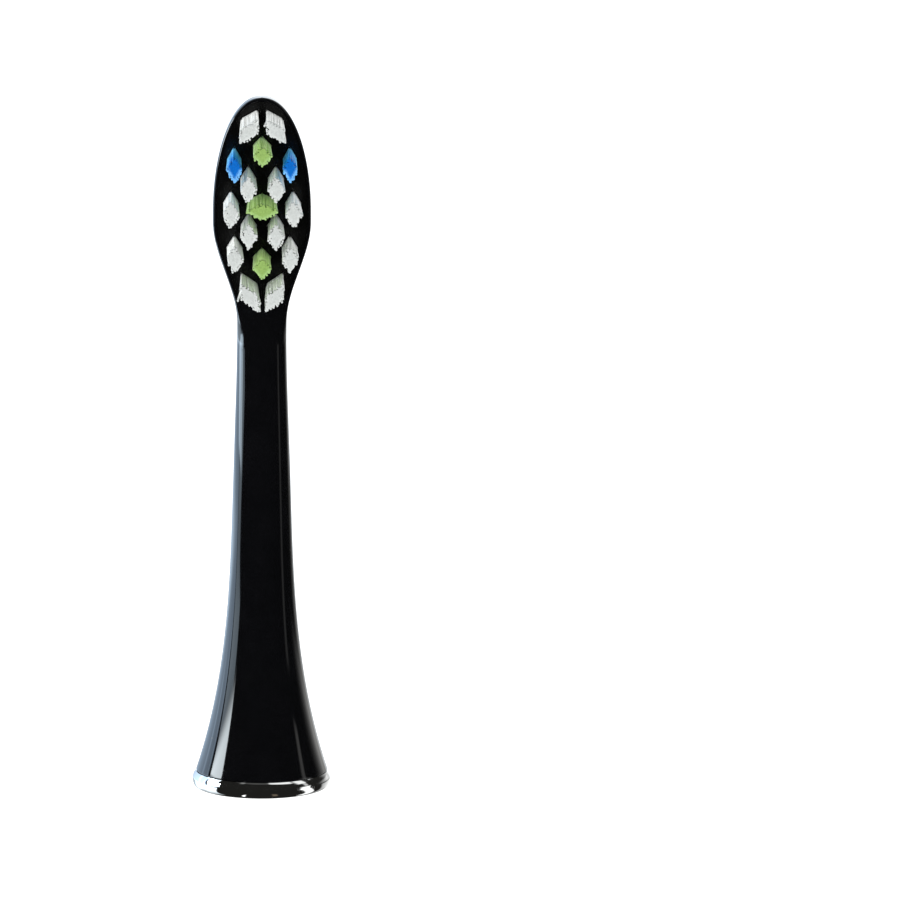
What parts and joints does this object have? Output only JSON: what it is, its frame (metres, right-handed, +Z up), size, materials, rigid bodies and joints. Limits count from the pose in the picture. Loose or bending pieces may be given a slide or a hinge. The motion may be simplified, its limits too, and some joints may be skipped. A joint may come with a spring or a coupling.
{
  "type": "toothbrush head",
  "caption": "Sonic toothbrush head: oval head with diamond-shaped bristle tufts, slim neck flaring to a hollow skirt with a shaft socket, and a plated base ring that pulls off downward.",
  "frame": {"origin": "centre of the bounding box at the bottom face of the base ring; the drive shaft's axis is parallel to Z at x = 0, y = 1.634 mm", "axes": "+Z up along the neck to the tip of the oval head, -Y the way the bristles point, +X to the right seen from the bristle side"},
  "size_m": [0.0156, 0.019, 0.079],
  "materials": {
    "black_gloss": "glossy moulded black plastic",
    "black_plate": "satin black plastic",
    "white_filament": "slightly translucent white nylon filaments",
    "green_filament": "light green nylon filaments",
    "blue_filament": "blue nylon filaments",
    "white_core": "satin white acetal",
    "spring_steel": "rolled stainless strip",
    "chrome_ring": "mirror-bright chrome plating on moulded plastic"
  },
  "bodies": {
    "head": {"head_shell": "black_gloss", "bristle_plate": "black_plate", "drive_core": "white_core", "shaft_clip": "spring_steel", "tuft_tip_left": "white_filament", "tuft_tip_right": "white_filament", "tuft_green_upper": "green_filament", "tuft_blue_left": "blue_filament", "tuft_blue_right": "blue_filament", "tuft_upper_left": "white_filament", "tuft_upper_right": "white_filament", "tuft_green_centre": "green_filament", "tuft_side_left": "white_filament", "tuft_side_right": "white_filament", "tuft_lower_left": "white_filament", "tuft_lower_right": "white_filament", "tuft_flank_left": "white_filament", "tuft_flank_right": "white_filament", "tuft_green_lower": "green_filament", "tuft_heel_left": "white_filament", "tuft_heel_right": "white_filament"},
    "ring": {"base_ring": "chrome_ring"}
  },
  "joints": [
    {"name": "ring_pull", "type": "slide", "parent": "head", "child": "ring", "axis": [0, 0, -1], "range_m": [0, 0.01]}
  ]
}
